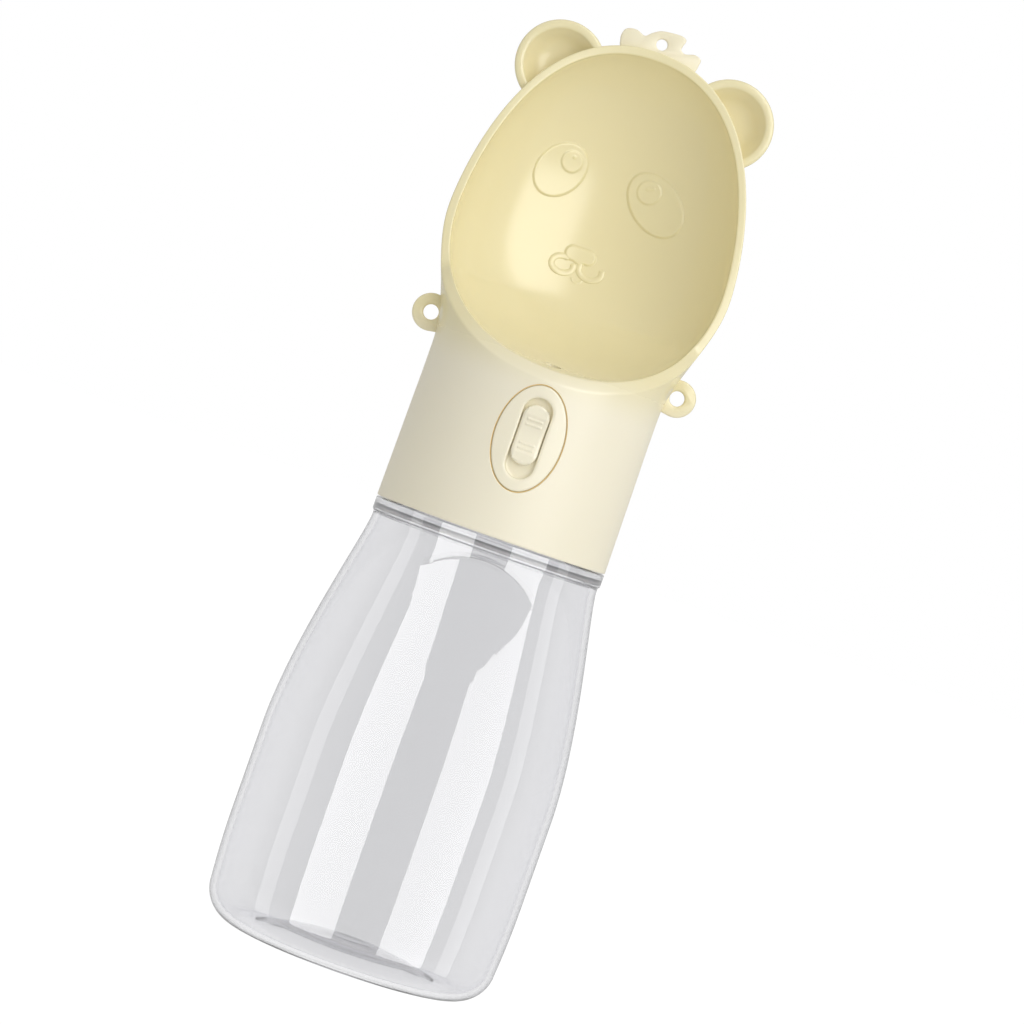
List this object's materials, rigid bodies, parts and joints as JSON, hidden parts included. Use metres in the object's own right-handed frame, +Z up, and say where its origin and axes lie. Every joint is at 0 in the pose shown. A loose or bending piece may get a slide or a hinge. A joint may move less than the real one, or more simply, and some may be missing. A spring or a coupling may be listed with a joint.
{
  "type": "dog travel water bottle",
  "caption": "Clear bottle with a screw-on cream head: scoop drinking bowl with ears, oval water button, lock slider, strap lugs and hang tab.",
  "frame": {"origin": "centre of the bottle's base, on the surface that it stands on", "axes": "+Z up the bottle's axis, the bowl and the button face -Y, +X to the right of someone facing the bowl"},
  "size_m": [0.0836, 0.0836, 0.2697],
  "materials": {
    "clear_plastic": "clear glossy plastic",
    "cream_shell": "cream satin-gloss plastic",
    "cream_button": "cream satin-gloss plastic",
    "white_plastic": "white moulded plastic",
    "silicone": "translucent white silicone",
    "steel": "stainless steel"
  },
  "bodies": {
    "bottle": {"bottle": "clear_plastic"},
    "lift": {"neck_gasket": "silicone"},
    "head": {"head_shell": "cream_shell", "inner_cap": "white_plastic", "valve_housing": "white_plastic", "inlet_seal": "silicone", "housing_screws": "steel", "gland_cap": "white_plastic", "outlet_grommet": "silicone", "rear_cap": "white_plastic", "rear_cap_seal": "silicone", "rear_cap_screws": "steel", "return_spring": "steel"},
    "button": {"water_button": "cream_button", "button_back": "white_plastic", "button_screws": "steel", "valve_stem": "steel", "stem_seal": "silicone", "valve_plug": "silicone", "plug_washer": "steel", "plug_screw": "steel"},
    "lock": {"lock_slider": "cream_button", "lock_tongue": "white_plastic", "lock_screw": "steel"}
  },
  "joints": [
    {"name": "head_lift", "type": "slide", "parent": "bottle", "child": "lift", "axis": [0, 0, 1], "range_m": [0, 0.0032]},
    {"name": "head_unscrew", "type": "hinge", "parent": "lift", "child": "head", "pos_m": [0, 0, 0.123], "axis": [0, 0, 1], "range_deg": [0, 360]},
    {"name": "button_press", "type": "slide", "parent": "head", "child": "button", "axis": [0, 1, 0], "range_m": [0, 0.0025], "stiffness_N_per_m": 400, "springref_m": -0.004, "deforming": ["return_spring"]},
    {"name": "lock_slide", "type": "slide", "parent": "button", "child": "lock", "axis": [0, 0, 1], "range_m": [-0.00355, 0.00165]}
  ],
  "couplings": [
    {"joint": "head_lift", "follows": "head_unscrew", "m_per_rad": 0.000509}
  ]
}
